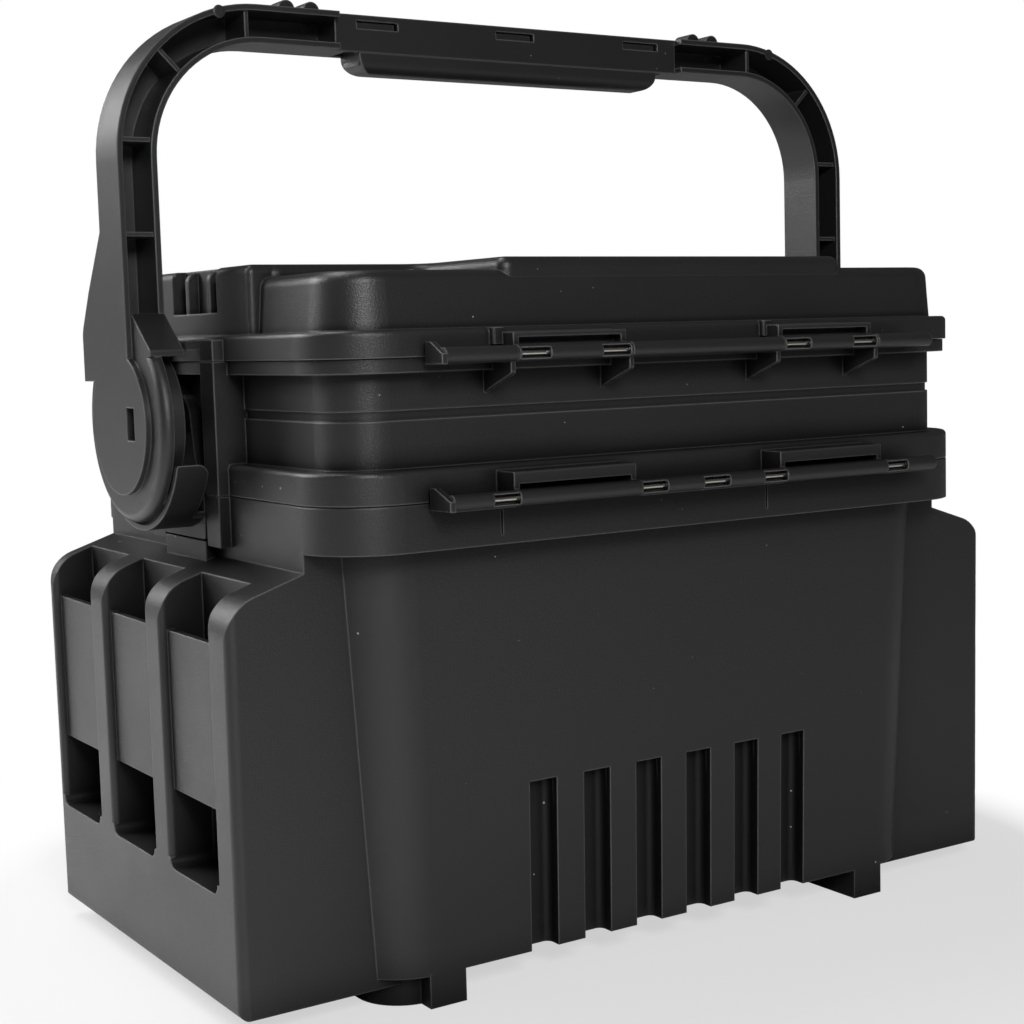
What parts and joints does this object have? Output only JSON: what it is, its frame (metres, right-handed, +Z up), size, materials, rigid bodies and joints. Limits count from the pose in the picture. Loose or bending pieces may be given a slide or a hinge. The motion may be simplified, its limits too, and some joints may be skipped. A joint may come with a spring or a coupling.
{
  "type": "fishing seat box",
  "caption": "Black moulded fishing seat box with hinged tray and seat lid, end pockets, latches and a swing carry handle.",
  "frame": {"origin": "centre of the box's outer bounds at the level that it rests on", "axes": "+X along the box towards its left end as seen from the hinge side, +Y to the hinge side, +Z up"},
  "size_m": [0.478, 0.345, 0.491],
  "materials": {
    "black_moulding": "satin moulded polypropylene with a fine texture",
    "black_latch": "satin moulded polypropylene",
    "grey_divider": "satin sheet plastic",
    "bright_steel": "bright drawn steel"
  },
  "bodies": {
    "bucket": {"base_tub": "black_moulding", "handle_bracket_left": "black_moulding", "handle_bracket_right": "black_moulding", "bracket_screws": "bright_steel", "handle_pivot_pin_left": "black_moulding", "handle_pivot_pin_right": "black_moulding", "lower_hinge_rod": "bright_steel", "tray_latch_pin_left": "bright_steel", "tray_latch_pin_right": "bright_steel"},
    "tray": {"middle_tray": "black_moulding", "tray_divider_long": "grey_divider", "tray_dividers_cross": "grey_divider", "upper_hinge_rod": "bright_steel", "lid_latch_pin_left": "bright_steel", "lid_latch_pin_right": "bright_steel"},
    "lid": {"top_lid": "black_moulding"},
    "handle": {"handle_frame": "black_moulding", "handle_grip": "black_moulding"},
    "lid_latch_left": {"lid_latch_left": "black_latch"},
    "lid_latch_right": {"lid_latch_right": "black_latch"},
    "tray_latch_left": {"tray_latch_left": "black_latch"},
    "tray_latch_right": {"tray_latch_right": "black_latch"}
  },
  "joints": [
    {"name": "tray_hinge", "type": "hinge", "parent": "bucket", "child": "tray", "pos_m": [0, 0.1688, 0.2448], "axis": [-1, 0, 0], "range_deg": [0, 20]},
    {"name": "lid_hinge", "type": "hinge", "parent": "tray", "child": "lid", "pos_m": [0, 0.1658, 0.3104], "axis": [-1, 0, 0], "range_deg": [0, 25]},
    {"name": "handle_swing", "type": "hinge", "parent": "bucket", "child": "handle", "pos_m": [0, 0, 0.2804], "axis": [1, 0, 0], "range_deg": [-65, 65]},
    {"name": "lid_latch_left_swing", "type": "hinge", "parent": "tray", "child": "lid_latch_left", "pos_m": [0.092, -0.162, 0.293], "axis": [-1, 0, 0], "range_deg": [-100, 0]},
    {"name": "lid_latch_right_swing", "type": "hinge", "parent": "tray", "child": "lid_latch_right", "pos_m": [-0.092, -0.162, 0.293], "axis": [-1, 0, 0], "range_deg": [-100, 0]},
    {"name": "tray_latch_left_swing", "type": "hinge", "parent": "bucket", "child": "tray_latch_left", "pos_m": [0.092, -0.162, 0.23], "axis": [-1, 0, 0], "range_deg": [-100, 0]},
    {"name": "tray_latch_right_swing", "type": "hinge", "parent": "bucket", "child": "tray_latch_right", "pos_m": [-0.092, -0.162, 0.23], "axis": [-1, 0, 0], "range_deg": [-100, 0]}
  ]
}
